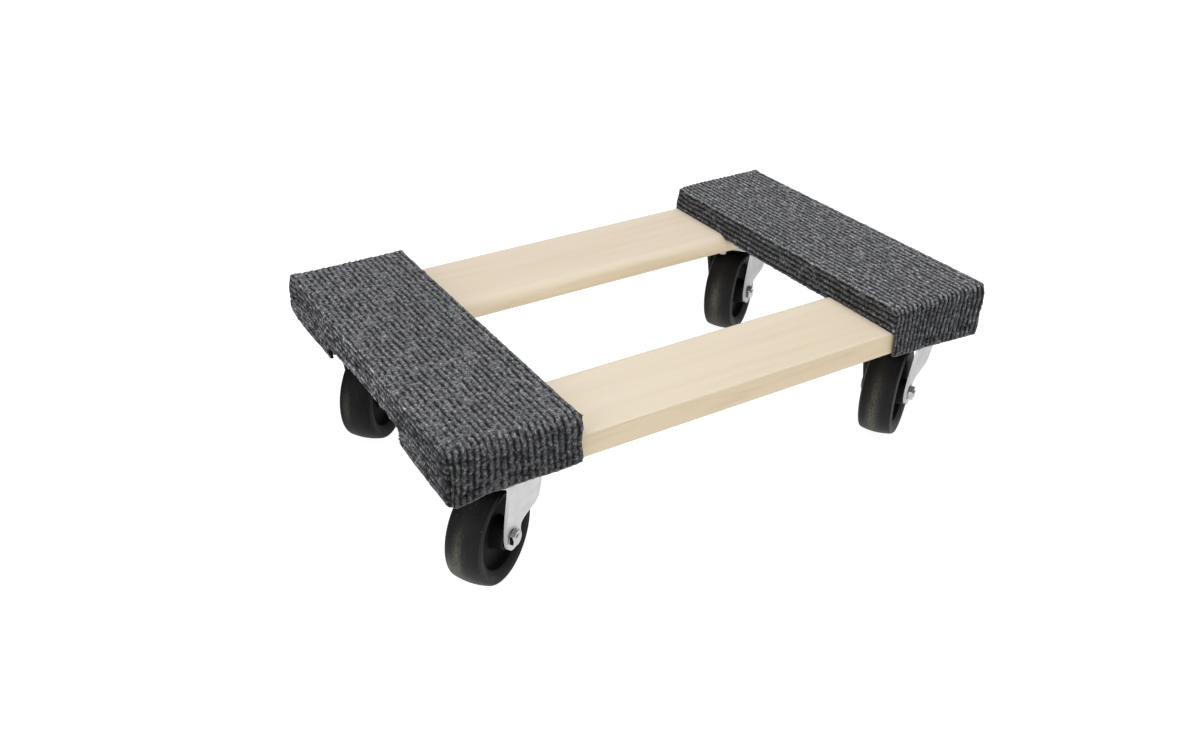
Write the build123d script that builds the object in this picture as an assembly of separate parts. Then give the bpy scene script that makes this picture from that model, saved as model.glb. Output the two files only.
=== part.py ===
from build123d import *
import os
from math import cos, sin, pi

# Furniture mover's platform dolly. Millimetres, +Z up, +X along the rails, origin on the floor under
# the middle of the deck. "Left" is -X, "front" is -Y.

# ---- deck -------------------------------------------------------------------------------------
OVERALL_L = 457.0        # over the carpet, along X
OVERALL_W = 293.0        # over the carpet, along Y
TOP_Z = 132.0            # carpet top, the load surface
CARPET_T = 4.0           # carpet thickness
PAD_W = 94.0             # one carpeted pad, along X
BOARD_T = 16.0           # cross board thickness
RAIL_T = 18.0            # rail thickness
RAIL_W = 77.0            # rail width, lying flat
RAIL_BULLNOSE = 8.5      # rounding of a rail's inner edges, almost a half round
RAIL_ARRIS = 1.2         # rounding of a rail's outer edges
CARPET_HANG = 2.0        # carpet reaches this far below the rail
FLAP_W = 26.0            # carpet turned under the cross board, between the rails
FLAP_GAP = 3.5           # flap's end stands off the rail
NOTCH_HALF = 68.0        # half length of the gap in the skirt on the outer face, between the rails
CARPET_R = 4.5           # rounding of the carpet's outer edges

# ---- caster -----------------------------------------------------------------------------------
# swivel axes, as the four casters are screwed on
CASTER_AT = {"front_left": (-179.7, -105.5), "front_right": (180.0, -105.3),
             "rear_right": (178.6, 107.3), "rear_left": (-181.0, 103.6)}
WHEEL_R = 37.5           # 75 mm wheel
WHEEL_W = 27.5           # over the rim
TRAIL = 10.0             # axle behind the swivel axis
YAW = {"front_left": -55.5, "front_right": -57.0, "rear_right": -54.5, "rear_left": -45.5}
PLATE_L, PLATE_W, PLATE_T = 84.0, 60.0, 2.5
SCREW_DX, SCREW_DY = 33.0, 24.5     # plate holes from the swivel axis
SHEET_T = 2.4            # fork sheet
CROWN_FRONT = 26.0       # front of the fork's crown, ahead of the swivel axis
CROWN_CORNER = 11.0      # rounding of the crown's front corners
# going up the fork: height, half width 15 mm behind the swivel axis, half width 16 mm ahead of it
FLARE = ((34.0, 18.2, 18.2), (40.0, 18.2, 18.7), (47.0, 18.8, 21.9), (57.0, 20.0, 25.6),
         (70.0, 21.6, 27.8), (85.3, 23.0, 28.9))
LEG_BACK, LEG_FRONT = 7.3, 12.3     # a leg's lower end, behind and ahead of the axle
LEG_DROP = 2.0                      # its round end's centre, below the axle
UP_BALL_D, UP_PITCH_R, UP_BALLS = 4.5, 16.5, 16
LO_BALL_D, LO_PITCH_R, LO_BALLS = 3.5, 10.2, 12
BALL_SINK_UP, BALL_SINK_LO = 0.5, 0.4    # how far a ball sits in each groove
BALL_CLEAR = 0.2         # groove radius over ball radius
KINGPIN_R = 5.0
AXLE_R = 3.2             # 1/4 in axle bolt
SLEEVE_R, BUSH_R = 5.0, 7.0
RUN_CLEAR = 0.05         # bush on sleeve
HEX_AF, NUT_T, BOLT_PAST_NUT = 11.1, 4.2, 0.7
HEAD_R, HEAD_H = 5.8, 1.8           # low round bolt head

# ---- derived ----------------------------------------------------------------------------------
BOARD_TOP = TOP_Z - CARPET_T
RAIL_TOP = BOARD_TOP - BOARD_T
RAIL_BOT = RAIL_TOP - RAIL_T
RAIL_L = OVERALL_L - 2 * CARPET_T
DECK_W = OVERALL_W - 2 * CARPET_T
RAIL_IN = DECK_W / 2 - RAIL_W
BOARD_W = PAD_W - 2 * CARPET_T
PAD_X = OVERALL_L / 2 - PAD_W / 2
CARPET_BOT = RAIL_BOT - CARPET_HANG

PLATE_BOT = RAIL_BOT - PLATE_T
DOME_BOT = PLATE_BOT - 2.3
UP_BALL_Z = DOME_BOT - UP_BALL_D / 2 + BALL_SINK_UP
CROWN_TOP = UP_BALL_Z - UP_BALL_D / 2 + BALL_SINK_UP
CROWN_BOT = CROWN_TOP - SHEET_T
LO_BALL_Z = CROWN_BOT - LO_BALL_D / 2 + BALL_SINK_LO
RACE_TOP = LO_BALL_Z - LO_BALL_D / 2 + BALL_SINK_LO
RACE_BOT = RACE_TOP - 2.6
LEG_OUT = FLARE[0][1]
LEG_IN = LEG_OUT - SHEET_T

os.makedirs("parts", exist_ok=True)


def save(node, *solids):
    """One node: a single solid, or a group of separate ones."""
    shape = solids[0] if len(solids) == 1 else Compound(children=list(solids))
    export_step(shape, "parts/" + node + ".step")


def span_box(x0, x1, y0, y1, z0, z1):
    return Pos((x0 + x1) / 2, (y0 + y1) / 2, (z0 + z1) / 2) * Box(x1 - x0, y1 - y0, z1 - z0)


def upright(r, z0, z1, x=0.0, y=0.0):
    return Pos(x, y, (z0 + z1) / 2) * Cylinder(r, z1 - z0)


def across(r, y0, y1, x=0.0, z=0.0):
    """Cylinder along Y."""
    return Pos(x, (y0 + y1) / 2, z) * Rot(90, 0, 0) * Cylinder(r, y1 - y0)


def hex_across(af, y0, y1, x, z):
    """Hexagonal prism along Y, with its corners turned off at both ends as on a rolled nut."""
    prism = extrude(RegularPolygon(af / 2, 6, major_radius=False, rotation=30), y1 - y0)
    turned = Cylinder(af / 2 * 1.13, y1 - y0, align=(Align.CENTER, Align.CENTER, Align.MIN))
    turned = chamfer(turned.edges().filter_by(GeomType.CIRCLE), 0.9)
    return Pos(x, y1, z) * Rot(90, 0, 0) * (prism & turned)


# ---- fasteners of the deck ------------------------------------------------------------------------
def deck_screw(x, y):
    """Countersunk wood screw, head flush with the cross board's top, driven down into the rail."""
    z = BOARD_TOP
    head = Pos(x, y, z - 1.7) * Cone(2.2, 4.6, 3.4)
    slot = span_box(x - 3.2, x + 3.2, y - 0.5, y + 0.5, z - 1.2, z + 1) + span_box(
        x - 0.5, x + 0.5, y - 3.2, y + 3.2, z - 1.2, z + 1)
    shank = upright(2.2, z - 24.0, z - 3.4, x, y)
    tip = Pos(x, y, z - 26.5) * Cone(0.4, 2.2, 5.0)
    return (head + shank + tip) - slot, head + shank + tip


def caster_screw(x, y):
    """Hex washer-head wood screw, driven up through the caster plate into the rail."""
    flange = upright(3.8, PLATE_BOT - 1.0, PLATE_BOT, x, y)
    flange = fillet(flange.edges().sort_by(Axis.Z)[0], 0.6)
    hexagon = Pos(x, y, PLATE_BOT - 4.4) * extrude(RegularPolygon(2.75, 6, major_radius=False), 3.6)
    shank = upright(2.4, PLATE_BOT - 0.5, RAIL_BOT + 11.0, x, y)
    tip = Pos(x, y, RAIL_BOT + 13.0) * Cone(2.4, 0.5, 4.0)
    return flange + hexagon + shank + tip


def staple(at, out, along):
    """Wire staple: crown flush with the carpet, two legs into the wood. out points out of the face."""
    wire, crown, leg = 1.1, 11.0, 11.0
    made = Box(crown, wire, wire) + Pos(-crown / 2 + wire / 2, 0, -leg / 2) * Box(wire, wire, leg)
    made += Pos(crown / 2 - wire / 2, 0, -leg / 2) * Box(wire, wire, leg)
    return Plane(origin=at, x_dir=along, z_dir=out) * (Pos(0, 0, -wire / 2 - 0.2) * made)


deck_screws, deck_holes = [], []
for sx in (-1, 1):
    for sy in (-1, 1):
        for dx, y in ((-16.0, 99.0), (18.0, 121.0)):
            screw, hole = deck_screw(sx * (PAD_X + dx), sy * y)
            deck_screws.append(screw)
            deck_holes.append(hole)

caster_screws = [caster_screw(x + dx, y + dy) for x, y in CASTER_AT.values()
                 for dx in (-SCREW_DX, SCREW_DX) for dy in (-SCREW_DY, SCREW_DY)]

staples = {-1: [], 1: []}
for sx in (-1, 1):
    for sy in (-1, 1):
        for x, z in ((PAD_X - 31.0, 103.0), (PAD_X - 9.0, 98.5), (PAD_X + 30.0, 100.0)):
            staples[sx].append(staple((sx * x, sy * OVERALL_W / 2, z), (0, sy, 0), (1, 0, 0)))
        staples[sx].append(staple((sx * OVERALL_L / 2, sy * 112.0, 98.0), (sx, 0, 0), (0, 1, 0)))
    for edge in (PAD_X - PAD_W / 2 + 15.0, PAD_X + PAD_W / 2 - 15.0):
        for y in (-48.0, 0.0, 48.0):
            staples[sx].append(staple((sx * edge, y, RAIL_TOP - CARPET_T), (0, 0, -1), (0, 1, 0)))

# ---- deck wood ------------------------------------------------------------------------------------
def rail(sy):
    y_in, y_out = sy * RAIL_IN, sy * DECK_W / 2
    made = span_box(-RAIL_L / 2, RAIL_L / 2, min(y_in, y_out), max(y_in, y_out), RAIL_BOT, RAIL_TOP)
    long_edges = made.edges().filter_by(Axis.X)
    made = fillet([e for e in long_edges if abs(e.center().Y - y_in) < 1], RAIL_BULLNOSE)
    outer = [e for e in made.edges().filter_by(Axis.X) if abs(e.center().Y - y_out) < 1e-3]
    return fillet(outer, RAIL_ARRIS)


def cross_board(sx):
    made = Pos(sx * PAD_X, 0, (BOARD_TOP + RAIL_TOP) / 2) * Box(BOARD_W, DECK_W, BOARD_T)
    return fillet(made.edges().group_by(Axis.Z)[-1], 2.0)


def carpet(sx):
    """Carpet wrapped over a cross board: down the ends and the outer edge to just below the rails,
    down the inner edge to the rails, and turned under the board between the rails."""
    x_in, x_out = PAD_X - PAD_W / 2, PAD_X + PAD_W / 2
    wrap = span_box(x_in, x_out, -OVERALL_W / 2, OVERALL_W / 2, CARPET_BOT, TOP_Z)
    wrap = fillet(wrap.edges().filter_by(Axis.Z) + wrap.edges().group_by(Axis.Z)[-1], CARPET_R)
    hollow = span_box(x_in + CARPET_T, x_out - CARPET_T, -DECK_W / 2, DECK_W / 2, 0, BOARD_TOP)
    under_in = span_box(x_in - 1, x_in + CARPET_T + 1, -DECK_W / 2, DECK_W / 2, 0, RAIL_TOP)
    notch = span_box(x_out - CARPET_T - 1, x_out + 1, -NOTCH_HALF, NOTCH_HALF, 0, RAIL_TOP)
    made = wrap - hollow - under_in - notch
    half = RAIL_IN - FLAP_GAP
    inner_flap = span_box(x_in, x_in + FLAP_W, -half, half, RAIL_TOP - CARPET_T, RAIL_TOP)
    inner_flap = fillet(
        inner_flap.edges().filter_by(Axis.Y).sort_by(lambda e: e.center().X + e.center().Z)[0], 3.0)
    outer_flap = span_box(x_out - FLAP_W, x_out, -half, half, RAIL_TOP - CARPET_T, RAIL_TOP)
    outer_flap = fillet(
        outer_flap.edges().filter_by(Axis.Y).sort_by(lambda e: -e.center().X + e.center().Z)[0], 3.0)
    made = made + inner_flap + outer_flap
    return made if sx > 0 else mirror(made, Plane.YZ)


for name, sy in (("rail_front", -1), ("rail_rear", 1)):
    wood = rail(sy)
    for cut in deck_holes + caster_screws + staples[-1] + staples[1]:
        wood = wood - cut
    save(name, wood)
for side, sx in (("left", -1), ("right", 1)):
    wood, cover = cross_board(sx), carpet(sx)
    for cut in deck_holes + staples[sx]:
        wood = wood - cut
    for cut in staples[sx]:
        cover = cover - cut
    save("cross_board_" + side, wood)
    save("pad_carpet_" + side, cover)
save("deck_screws", *deck_screws)
save("carpet_staples", *staples[-1], *staples[1])
save("caster_screws", *caster_screws)


# ---- caster, in its own frame: swivel axis on Z, rolling towards +X, nut at -Y ---------------------
def top_plate():
    made = Pos(0, 0, PLATE_BOT) * extrude(RectangleRounded(PLATE_L, PLATE_W, 6.0), PLATE_T)
    dome = upright(27.0, DOME_BOT, PLATE_BOT + 0.5)
    dome = fillet(dome.edges().sort_by(Axis.Z)[0], 1.6)
    lip = upright(25.4, CROWN_TOP + 0.9, DOME_BOT + 0.5) - upright(20.8, 0, RAIL_BOT)
    lip = fillet(lip.edges().group_by(Axis.Z)[0], 0.8)
    made = made + dome + lip - upright(24.2, DOME_BOT + PLATE_T, RAIL_BOT + 1)
    made = made - upright(KINGPIN_R + RUN_CLEAR, 0, RAIL_BOT + 1)
    for dx in (-SCREW_DX, SCREW_DX):
        for dy in (-SCREW_DY, SCREW_DY):
            made = made - upright(3.0, PLATE_BOT - 1, RAIL_BOT + 1, dx, dy)
    return made - Pos(0, 0, UP_BALL_Z) * Torus(UP_PITCH_R, UP_BALL_D / 2 + BALL_CLEAR)


def kingpin():
    lower = upright(8.0, RACE_BOT, RACE_BOT + 1.3)
    upper = upright(8.5, DOME_BOT + PLATE_T, RAIL_BOT - 0.2)
    upper = fillet(upper.edges().sort_by(Axis.Z)[-1], 1.2)
    return lower + upright(KINGPIN_R, RACE_BOT, RAIL_BOT - 0.2) + upper


def lower_race():
    made = upright(13.8, RACE_BOT, RACE_TOP)
    made = fillet(made.edges().sort_by(Axis.Z)[0], 1.0)
    made = made - upright(KINGPIN_R + RUN_CLEAR, 0, RACE_TOP + 1)
    made = made - upright(8.0 + RUN_CLEAR, RACE_BOT - 1, RACE_BOT + 1.3)
    return made - Pos(0, 0, LO_BALL_Z) * Torus(LO_PITCH_R, LO_BALL_D / 2 + BALL_CLEAR)


def ball_ring(d, pitch_r, count, z):
    return [Pos(pitch_r * cos(2 * pi * i / count), pitch_r * sin(2 * pi * i / count), z) * Sphere(d / 2)
            for i in range(count)]


def fork_section(off, back, lead):
    """Level section through the drawn fork, off inside the outer skin; wider ahead than behind."""
    toe = (lead - back) / 31.0
    front = CROWN_FRONT - off
    y_back, y_front = back - off - 45.0 * toe, back - off + (front + 15.0) * toe
    face = make_face(Polyline((-60.0, -y_back), (front, -y_front), (front, y_front), (-60.0, y_back),
                              close=True))
    return fillet([v for v in face.vertices() if v.X > 0], CROWN_CORNER - off)


def fork_shell(off):
    """Drawn crown and legs as a solid block, off inside the outer skin; open at the trailing end."""
    levels = list(FLARE[:-1]) + [(CROWN_TOP - off, FLARE[-1][1], FLARE[-1][2])]
    flare = loft([Pos(0, 0, z) * fork_section(off, back, lead) for z, back, lead in levels])
    flare = fillet(flare.faces().sort_by(Axis.Z)[-1].edges(), 4.0 - 0.8 * off)
    low = fork_section(off, FLARE[0][1], FLARE[0][2])
    skirt = Pos(0, 0, 20.0 - off) * extrude(low, FLARE[0][0] - 20.0 + off)
    return flare + skirt


def fork():
    made = fork_shell(0.0) - fork_shell(SHEET_T)
    ax, az = -TRAIL, WHEEL_R
    mid, r = ax + (LEG_FRONT - LEG_BACK) / 2, (LEG_FRONT + LEG_BACK) / 2
    back, front, low = mid - r, CROWN_FRONT + 0.5, az - LEG_DROP
    outline = Curve() + [
        ThreePointArc((mid + r, low), (mid, low - r), (back, low)),
        Line((back, low), (back, 79.0)),
        ThreePointArc((back, 79.0), (back - 1.6, 82.0), (back - 5.0, 83.0)),
        Line((back - 5.0, 83.0), (back - 5.0, 96.0)),
        Line((back - 5.0, 96.0), (front, 96.0)),
        Line((front, 96.0), (front, 69.0)),
        Spline((front, 69.0), (22.4, 58.6), (17.0, 52.6), (9.6, 47.2), (4.2, 42.6), (mid + r, low),
               tangents=((0, -1), (0, -1))),
    ]
    side = extrude(Plane.XZ * make_face(outline), 40.0, both=True)
    made = made & side
    made = made - (span_box(-46, -16, -50, 50, 79, 102) - upright(28.0, 70, 110))
    # flats pressed round the axle hole, inside for the sleeve, outside for the nut and the head
    made = made - across(SLEEVE_R + 0.3, -LEG_IN, LEG_IN, ax, az)
    made = made - across(6.7, -LEG_OUT - 4, -LEG_OUT, ax, az) - across(6.7, LEG_OUT, LEG_OUT + 4, ax, az)
    made = made - across(AXLE_R + RUN_CLEAR, -40, 40, ax, az) - upright(KINGPIN_R + 0.6, 60, 100)
    made = made - Pos(0, 0, UP_BALL_Z) * Torus(UP_PITCH_R, UP_BALL_D / 2 + BALL_CLEAR)
    return made - Pos(0, 0, LO_BALL_Z) * Torus(LO_PITCH_R, LO_BALL_D / 2 + BALL_CLEAR)


def axle_bolt():
    """Round low head on the +Y leg, shank through both legs, and its turned end just past the nut."""
    far = -(LEG_OUT + NUT_T + BOLT_PAST_NUT)
    shank = across(AXLE_R, far, LEG_OUT + 1, -TRAIL, WHEEL_R)
    shank = chamfer(shank.edges().filter_by(GeomType.CIRCLE).sort_by(Axis.Y)[0], 0.7)
    head = across(HEAD_R, LEG_OUT, LEG_OUT + HEAD_H, -TRAIL, WHEEL_R)
    head = fillet(head.edges().filter_by(GeomType.CIRCLE).sort_by(Axis.Y)[-1], 1.3)
    return shank + head


def axle_nut():
    made = hex_across(HEX_AF, -(LEG_OUT + NUT_T), -LEG_OUT, -TRAIL, WHEEL_R)
    return made - across(AXLE_R, -60, 60, -TRAIL, WHEEL_R)


def axle_sleeve():
    return across(SLEEVE_R, -LEG_IN, LEG_IN, -TRAIL, WHEEL_R) - across(
        AXLE_R + RUN_CLEAR, -60, 60, -TRAIL, WHEEL_R)


def hub_bush():
    half = LEG_IN - 0.5
    return across(BUSH_R, -half, half, -TRAIL, WHEEL_R) - across(
        SLEEVE_R + RUN_CLEAR, -60, 60, -TRAIL, WHEEL_R)


def wheel():
    """One-piece wheel: crowned tread, small shoulders, dished rim, deep recess, web and hub boss."""
    half, hub = WHEEL_W / 2, LEG_IN - 0.5
    section = [(BUSH_R, 0), (BUSH_R, hub), (10.4, hub), (11.8, 4.8), (24.4, 4.8), (25.8, half - 3.2),
               (27.4, half - 2.6), (33.5, half - 0.05), (WHEEL_R - 1.4, half - 2.1)]
    shoulder = (35.15, half - 0.62)
    right = Curve() + [Line(section[i], section[i + 1]) for i in range(7)]
    right += [ThreePointArc(section[7], shoulder, section[8])]
    crown = ThreePointArc(section[8], (WHEEL_R, 0), (section[8][0], -section[8][1]))
    left = [Line((a[0], -a[1]), (b[0], -b[1])) for a, b in zip(section[:7], section[1:8])]
    left.append(ThreePointArc((section[7][0], -section[7][1]), (shoulder[0], -shoulder[1]),
                              (section[8][0], -section[8][1])))
    face = make_face(right + [crown] + left)
    soft = {10.4: 0.8, 11.8: 1.8, 24.4: 2.6, 25.8: 0.5, 27.4: 0.8}
    for r0, soften in soft.items():
        face = fillet([v for v in face.vertices() if abs(v.X - r0) < 1e-4], soften)
    made = revolve(face, Axis.Y)
    return Pos(-TRAIL, 0, WHEEL_R) * made


made = {"plate": top_plate(), "kingpin": kingpin(), "lower_race": lower_race(), "fork": fork(),
        "axle_bolt": axle_bolt(), "axle_nut": axle_nut(), "axle_sleeve": axle_sleeve(),
        "hub_bush": hub_bush(), "wheel": wheel()}
upper_balls = ball_ring(UP_BALL_D, UP_PITCH_R, UP_BALLS, UP_BALL_Z)
lower_balls = ball_ring(LO_BALL_D, LO_PITCH_R, LO_BALLS, LO_BALL_Z)

for corner, yaw in YAW.items():
    x, y = CASTER_AT[corner]
    fixed = Pos(x, y, 0)
    turned = Pos(x, y, 0) * Rot(0, 0, yaw + 90.0)
    for piece, shape in made.items():
        place = fixed if piece in ("plate", "kingpin", "lower_race") else turned
        save(corner + "_" + piece, place * shape)
    save(corner + "_upper_balls", *[turned * b for b in upper_balls])
    save(corner + "_lower_balls", *[turned * b for b in lower_balls])
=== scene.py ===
import math

import bpy
import numpy as np
from mathutils import Matrix, Vector


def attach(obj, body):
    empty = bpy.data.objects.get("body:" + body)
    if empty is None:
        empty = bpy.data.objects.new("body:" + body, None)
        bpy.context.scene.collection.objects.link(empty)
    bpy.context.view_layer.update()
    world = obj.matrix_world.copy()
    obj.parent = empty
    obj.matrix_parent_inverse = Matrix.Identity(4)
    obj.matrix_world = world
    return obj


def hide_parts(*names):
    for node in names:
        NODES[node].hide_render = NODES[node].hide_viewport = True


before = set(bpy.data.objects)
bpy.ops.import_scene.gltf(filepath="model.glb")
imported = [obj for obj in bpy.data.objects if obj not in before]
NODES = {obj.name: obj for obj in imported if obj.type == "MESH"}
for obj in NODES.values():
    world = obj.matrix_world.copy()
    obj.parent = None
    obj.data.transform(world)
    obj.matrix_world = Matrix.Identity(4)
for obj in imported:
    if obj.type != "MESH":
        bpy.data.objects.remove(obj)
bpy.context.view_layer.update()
scene = bpy.context.scene
MM = 0.001

# swivel axes and resting angles of the casters, as in the frame
CASTER_AT = {"front_left": (-179.7, -105.5), "front_right": (180.0, -105.3),
             "rear_right": (178.6, 107.3), "rear_left": (-181.0, 103.6)}
YAW = {"front_left": -55.5, "front_right": -57.0, "rear_right": -54.5, "rear_left": -45.5}

# ---- camera: three quarters from the front left, about 30 degrees above the floor ----------------
CAM_AZ, CAM_EL = -0.540677, 0.532506
CAM_DIST, CAM_RIGHT, CAM_UP = 0.932938, -0.028748, -0.012897
FOCAL_PX, IMAGE_W = 1154.098, 1200.0

back = Vector((math.sin(CAM_AZ) * math.cos(CAM_EL), -math.cos(CAM_AZ) * math.cos(CAM_EL), math.sin(CAM_EL)))
right = Vector((math.cos(CAM_AZ), math.sin(CAM_AZ), 0.0))
up = back.cross(right)
camera_data = bpy.data.cameras.new("camera")
camera_data.sensor_fit = "HORIZONTAL"
camera_data.sensor_width = 36.0
camera_data.lens = FOCAL_PX / IMAGE_W * 36.0
camera_data.clip_start, camera_data.clip_end = 0.02, 60.0
camera = bpy.data.objects.new("camera", camera_data)
eye = Vector((0, 0, 0.060)) + back * CAM_DIST + right * CAM_RIGHT + up * CAM_UP
camera.matrix_world = Matrix((
    (right.x, up.x, back.x, eye.x),
    (right.y, up.y, back.y, eye.y),
    (right.z, up.z, back.z, eye.z),
    (0, 0, 0, 1)))
scene.collection.objects.link(camera)
scene.camera = camera


# ---- node materials ------------------------------------------------------------------------------
class Shader:
    """A node material under construction: short calls that add a node and return its output."""

    def __init__(self, name):
        self.material = bpy.data.materials.new(name)
        self.material.use_nodes = True
        self.tree = self.material.node_tree
        self.tree.nodes.clear()
        self.out = self.tree.nodes.new("ShaderNodeOutputMaterial")

    def node(self, kind, **values):
        made = self.tree.nodes.new(kind)
        for key, value in values.items():
            setattr(made, key, value)
        return made

    def put(self, socket, value):
        if isinstance(value, bpy.types.NodeSocket):
            self.tree.links.new(value, socket)
        elif value is not None:
            socket.default_value = value

    def coords(self):
        return self.node("ShaderNodeTexCoord").outputs["Object"]

    def normals(self):
        return self.node("ShaderNodeTexCoord").outputs["Normal"]

    def dot(self, vector, way):
        made = self.node("ShaderNodeVectorMath", operation="DOT_PRODUCT")
        self.put(made.inputs[0], vector)
        made.inputs[1].default_value = way
        return made.outputs["Value"]

    def attribute(self, name, output="Fac"):
        return self.node("ShaderNodeAttribute", attribute_name=name).outputs[output]

    def scaled(self, vector, scale, move=(0, 0, 0), turn=(0, 0, 0)):
        made = self.node("ShaderNodeMapping")
        self.put(made.inputs["Vector"], vector)
        made.inputs["Scale"].default_value = scale
        made.inputs["Location"].default_value = move
        made.inputs["Rotation"].default_value = turn
        return made.outputs["Vector"]

    def noise(self, vector, scale=1.0, detail=2.0, rough=0.5, distortion=0.0, output="Fac"):
        made = self.node("ShaderNodeTexNoise")
        self.put(made.inputs["Vector"], vector)
        made.inputs["Scale"].default_value = scale
        made.inputs["Detail"].default_value = detail
        made.inputs["Roughness"].default_value = rough
        made.inputs["Distortion"].default_value = distortion
        return made.outputs[output]

    def math(self, operation, a, b=None, c=None, clamp=False):
        made = self.node("ShaderNodeMath", operation=operation, use_clamp=clamp)
        for socket, value in zip(made.inputs, (a, b, c)):
            self.put(socket, value)
        return made.outputs[0]

    def remap(self, value, a, b, c=0.0, d=1.0, smooth=False):
        made = self.node("ShaderNodeMapRange", interpolation_type="SMOOTHSTEP" if smooth else "LINEAR")
        self.put(made.inputs[0], value)
        for socket, number in zip(made.inputs[1:5], (a, b, c, d)):
            socket.default_value = number
        return made.outputs[0]

    def ramp(self, value, stops, ease="LINEAR"):
        made = self.node("ShaderNodeValToRGB")
        made.color_ramp.interpolation = ease
        elements = made.color_ramp.elements
        while len(elements) < len(stops):
            elements.new(0.5)
        for element, (place, colour) in zip(elements, stops):
            element.position = place
            element.color = (*colour, 1.0)
        self.put(made.inputs[0], value)
        return made.outputs[0]

    def mix(self, factor, a, b, blend="MIX"):
        made = self.node("ShaderNodeMix", data_type="RGBA", blend_type=blend)
        self.put(made.inputs[0], factor)
        for socket, value in ((made.inputs[6], a), (made.inputs[7], b)):
            self.put(socket, (*value, 1.0) if isinstance(value, tuple) else value)
        return made.outputs[2]

    def split(self, vector):
        made = self.node("ShaderNodeSeparateXYZ")
        self.put(made.inputs[0], vector)
        return made.outputs

    def bump(self, height, distance, strength=1.0, normal=None):
        made = self.node("ShaderNodeBump")
        made.inputs["Strength"].default_value = strength
        made.inputs["Distance"].default_value = distance
        self.put(made.inputs["Height"], height)
        self.put(made.inputs["Normal"], normal)
        return made.outputs[0]

    def surface(self, colour, rough, normal=None, metallic=0.0, **constants):
        made = self.node("ShaderNodeBsdfPrincipled")
        self.put(made.inputs["Base Color"], (*colour, 1.0) if isinstance(colour, tuple) else colour)
        self.put(made.inputs["Roughness"], rough)
        self.put(made.inputs["Normal"], normal)
        made.inputs["Metallic"].default_value = metallic
        for key, value in constants.items():
            made.inputs[key.replace("_", " ")].default_value = value
        self.tree.links.new(made.outputs[0], self.out.inputs["Surface"])
        return self.material


def carpet_material():
    """Heathered charcoal fibre: the furrows between the ribs are painted dark as painted shade, the top faces lighter
    than the side faces as painted light (partly wear), cut edges grey.
    """
    s = Shader("ribbed_carpet")
    weave, place = s.attribute("weave", "Vector"), s.coords()
    tone, wear_and_top_light, cut = s.split(s.attribute("pile", "Vector"))
    tufts = s.noise(s.scaled(weave, (0.55, 0.42, 1.0)), detail=2.0, rough=0.55)
    fibres = s.noise(s.scaled(weave, (1.9, 1.1, 1.0), (37.0, 11.0, 0.0)), detail=3.0, rough=0.65)
    specks = s.noise(s.scaled(weave, (0.80, 0.66, 1.0), (91.0, 53.0, 0.0)), detail=1.0, rough=0.5)
    blotch = s.noise(place, scale=38.0, detail=2.0)
    mixed = s.math("ADD", s.math("MULTIPLY", tufts, 0.60), s.math("MULTIPLY", fibres, 0.40))
    colour = s.ramp(mixed, (
        (0.36, (0.052, 0.052, 0.055)),
        (0.47, (0.108, 0.109, 0.114)),
        (0.56, (0.176, 0.178, 0.184)),
        (0.68, (0.380, 0.383, 0.392))))
    colour = s.mix(s.remap(specks, 0.58, 0.70, 0.0, 0.70), colour, (0.430, 0.433, 0.441))
    colour = s.mix(s.remap(specks, 0.41, 0.30, 0.0, 0.70), colour, (0.018, 0.018, 0.020))
    # painted light: the second pile value lightens the top faces and darkens the side faces
    shade = s.math("MULTIPLY", tone, s.remap(wear_and_top_light, 0.0, 1.0, 0.62, 1.06))
    colour = s.mix(1.0, colour, shade, "MULTIPLY")
    tint = s.ramp(blotch, ((0.36, (1.0, 0.97, 1.02)), (0.5, (0.985, 0.985, 1.0)), (0.64, (0.96, 1.0, 0.985))))
    colour = s.mix(1.0, colour, tint, "MULTIPLY")
    backing = s.ramp(fibres, ((0.35, (0.070, 0.070, 0.073)), (0.65, (0.27, 0.27, 0.27))))
    colour = s.mix(cut, colour, backing)
    normal = s.bump(mixed, 0.0011, 0.8)
    return s.surface(colour, 0.94, normal, Specular_IOR_Level=0.12, Sheen_Weight=0.03, Sheen_Roughness=0.45,
                     Sheen_Tint=(0.88, 0.89, 0.93, 1.0))


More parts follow.
